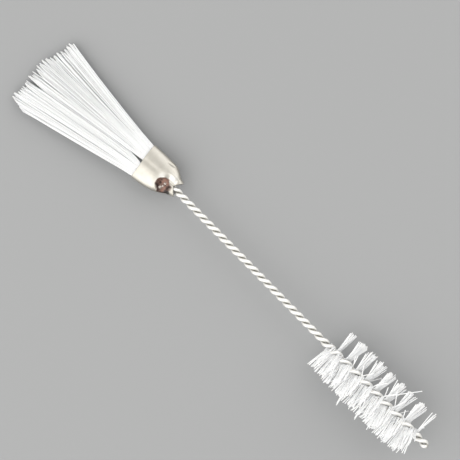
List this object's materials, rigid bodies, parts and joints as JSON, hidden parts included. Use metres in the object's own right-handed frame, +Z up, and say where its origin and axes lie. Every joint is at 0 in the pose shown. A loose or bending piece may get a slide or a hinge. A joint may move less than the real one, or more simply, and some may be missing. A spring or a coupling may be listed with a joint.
{
  "type": "double-ended cleaning brush",
  "caption": "Small double-ended cleaning brush: a flat fan brush in a pressed metal cap, and a tube brush on the other end of its twisted wire stem.",
  "frame": {"origin": "middle of the box around the brush, at the base it lies on", "axes": "+X along the stem from the fan brush to the tube brush, +Y across the fan, +Z up, away from the surface that the brush lies on"},
  "size_m": [0.1796, 0.029, 0.0203],
  "materials": {
    "plated_wire": "satin",
    "plated_cap": "polished",
    "resin": "gloss",
    "fan_nylon": "satin",
    "tube_nylon": "satin"
  },
  "bodies": {
    "root": {"twisted_wire_stem": "plated_wire", "ferrule_cap": "plated_cap", "root_resin": "resin", "fan_right_lock_1": "fan_nylon", "fan_right_lock_2": "fan_nylon", "fan_right_lock_3": "fan_nylon", "fan_right_lock_4": "fan_nylon", "fan_right_lock_5": "fan_nylon", "fan_left_lock_1": "fan_nylon", "fan_left_lock_2": "fan_nylon", "fan_left_lock_3": "fan_nylon", "fan_left_lock_4": "fan_nylon", "tube_row_1": "tube_nylon", "tube_row_2": "tube_nylon", "tube_row_3": "tube_nylon", "tube_row_4": "tube_nylon", "tube_row_5": "tube_nylon", "tube_row_6": "tube_nylon", "tube_row_7": "tube_nylon", "tube_row_8": "tube_nylon", "tube_row_9": "tube_nylon", "tube_row_10": "tube_nylon"}
  },
  "joints": []
}
